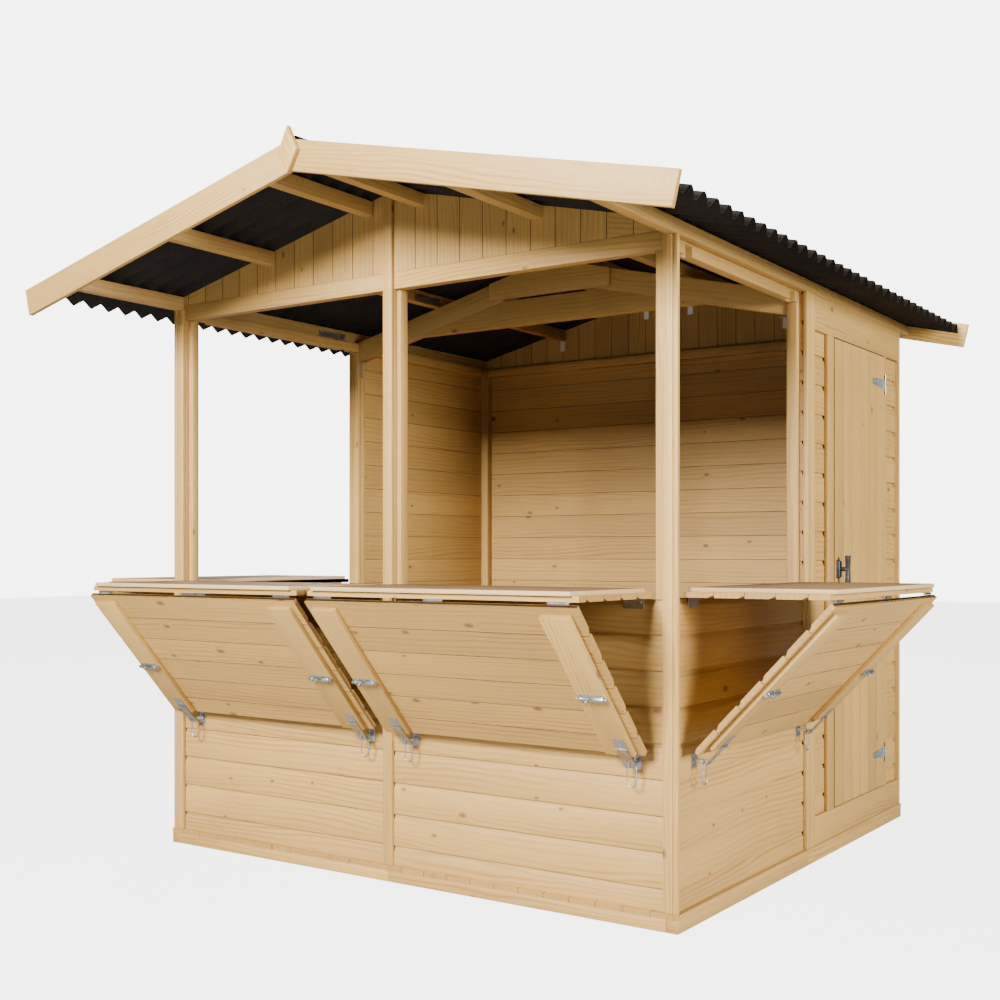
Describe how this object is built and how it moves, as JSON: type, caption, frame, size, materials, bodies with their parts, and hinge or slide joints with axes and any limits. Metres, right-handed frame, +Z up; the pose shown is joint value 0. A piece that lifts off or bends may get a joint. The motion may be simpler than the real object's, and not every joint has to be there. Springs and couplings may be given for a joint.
{
  "type": "wooden market stall",
  "caption": "Timber market stall with a corrugated gable roof, boarded walls, a side door, fold-out counters and brace flaps on the front and both sides.",
  "frame": {"origin": "middle of the footprint between the walls' outer faces, on the ground, on the underside of a floor bearer", "axes": "+X to the side with the door, -Y out of the front gable, +Z up"},
  "size_m": [3.5622, 3.167, 2.8168],
  "materials": {
    "pine": "planed, light satin",
    "pale_pine": "planed, light satin",
    "counter_top": "smooth satin sheet on pine boards",
    "corrugated_sheet": "matt bitumen, slightly grainy",
    "galvanised": "bright zinc",
    "black_handle": "satin black"
  },
  "bodies": {
    "stall": {"base_bearers": "pine", "floor_decks": "pine", "low_walls": "pine", "left_rear_wall": "pine", "back_walls": "pine", "right_rear_wall": "pine", "door_frame": "pine", "front_gable": "pine", "back_gable": "pine", "cover_strips": "pale_pine", "corner_posts": "pine", "wall_frames": "pine", "top_beams": "pine", "purlins": "pine", "truss": "pine", "roof_sheet_left": "corrugated_sheet", "roof_sheet_right": "corrugated_sheet", "ridge_cap": "corrugated_sheet", "bargeboards": "pale_pine", "finials": "pale_pine", "roof_connectors": "galvanised", "wall_fittings": "galvanised", "hasp_staples": "galvanised"},
    "door": {"door_leaf": "pine", "door_hinges": "galvanised", "door_handle": "black_handle"},
    "counter_front_left": {"counter_front_left": "counter_top", "counter_fittings_front_left": "galvanised"},
    "flap_front_left": {"flap_front_left": "pine", "flap_fittings_front_left": "galvanised", "hasps_front_left": "galvanised"},
    "counter_front_right": {"counter_front_right": "counter_top", "counter_fittings_front_right": "galvanised"},
    "flap_front_right": {"flap_front_right": "pine", "flap_fittings_front_right": "galvanised", "hasps_front_right": "galvanised"},
    "counter_right": {"counter_right": "counter_top", "counter_fittings_right": "galvanised"},
    "flap_right": {"flap_right": "pine", "flap_fittings_right": "galvanised", "hasps_right": "galvanised"},
    "counter_left": {"counter_left": "counter_top", "counter_fittings_left": "galvanised"},
    "flap_left": {"flap_left": "pine", "flap_fittings_left": "galvanised", "hasps_left": "galvanised"}
  },
  "joints": [
    {"name": "door_hinge", "type": "hinge", "parent": "stall", "child": "door", "pos_m": [1.255, 0.965, 1.2], "axis": [0, 0, 1], "range_deg": [0, 165]},
    {"name": "counter_front_left_hinge", "type": "hinge", "parent": "stall", "child": "counter_front_left", "pos_m": [-0.617, -1.196, 1.132], "axis": [-1, 0, 0], "range_deg": [0, 90]},
    {"name": "flap_front_left_hinge", "type": "hinge", "parent": "counter_front_left", "child": "flap_front_left", "pos_m": [-0.617, -1.688, 1.132], "axis": [-1, 0, 0], "range_deg": [0, 131.5]},
    {"name": "counter_front_right_hinge", "type": "hinge", "parent": "stall", "child": "counter_front_right", "pos_m": [0.5805, -1.196, 1.132], "axis": [-1, 0, 0], "range_deg": [0, 90]},
    {"name": "flap_front_right_hinge", "type": "hinge", "parent": "counter_front_right", "child": "flap_front_right", "pos_m": [0.5805, -1.688, 1.132], "axis": [-1, 0, 0], "range_deg": [0, 131.5]},
    {"name": "counter_right_hinge", "type": "hinge", "parent": "stall", "child": "counter_right", "pos_m": [1.243, -0.587, 1.135], "axis": [0, -1, 0], "range_deg": [0, 90]},
    {"name": "flap_right_hinge", "type": "hinge", "parent": "counter_right", "child": "flap_right", "pos_m": [1.765, -0.587, 1.135], "axis": [0, -1, 0], "range_deg": [0, 133.27]},
    {"name": "counter_left_hinge", "type": "hinge", "parent": "stall", "child": "counter_left", "pos_m": [-1.243, -0.587, 1.135], "axis": [0, 1, 0], "range_deg": [0, 90]},
    {"name": "flap_left_hinge", "type": "hinge", "parent": "counter_left", "child": "flap_left", "pos_m": [-1.765, -0.587, 1.135], "axis": [0, 1, 0], "range_deg": [0, 133.27]}
  ]
}
